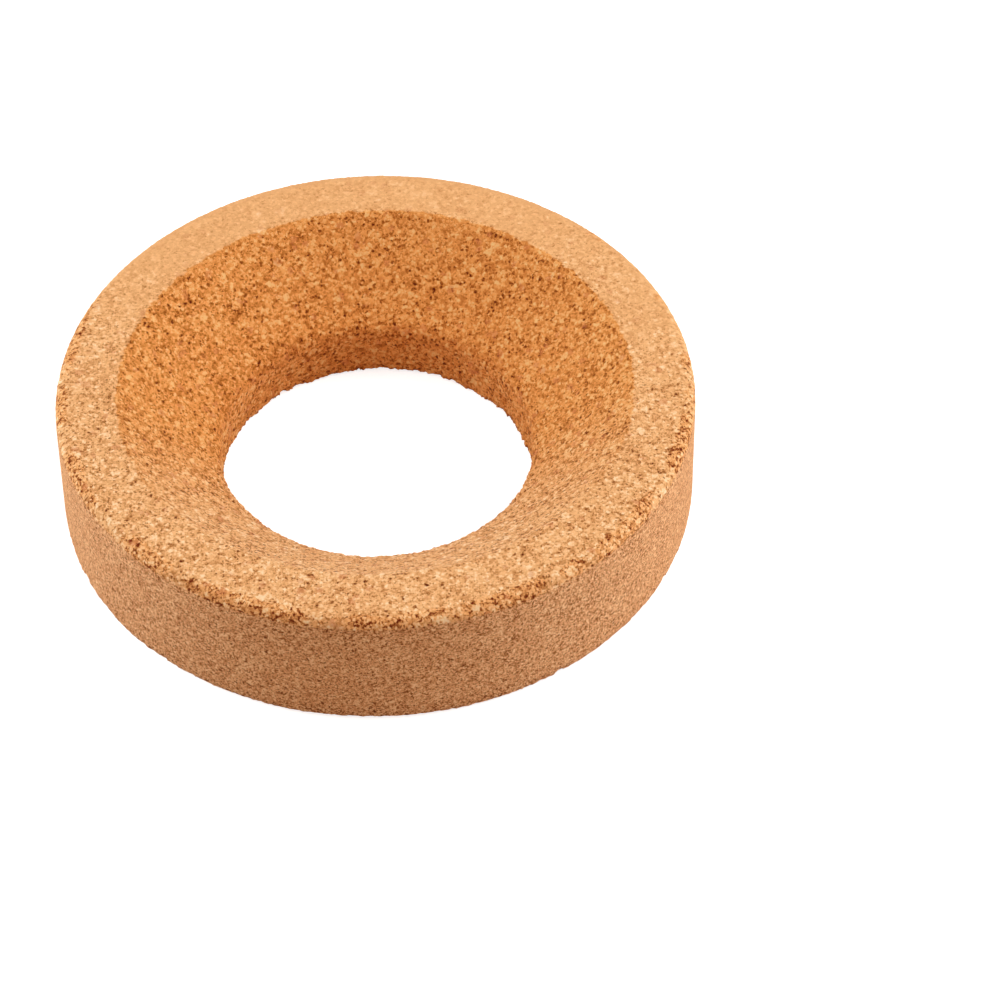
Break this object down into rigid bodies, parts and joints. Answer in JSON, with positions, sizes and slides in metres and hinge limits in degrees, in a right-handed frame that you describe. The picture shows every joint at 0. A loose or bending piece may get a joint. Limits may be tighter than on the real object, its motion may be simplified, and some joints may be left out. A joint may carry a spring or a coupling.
{
  "type": "cork ring",
  "caption": "Flat ring of pressed granulated cork with a wide conical seat and a straight bore, which holds a round-bottomed flask upright on a bench.",
  "frame": {"origin": "centre of the base, on the ring's axis", "axes": "+Z along the ring's axis, from the base up towards the seat. X and Y are alike, because the ring is round"},
  "size_m": [0.14, 0.14, 0.03],
  "materials": {
    "cork": "pressed and sanded granulated cork, matte"
  },
  "bodies": {
    "root": {"cork_ring": "cork"}
  },
  "joints": []
}
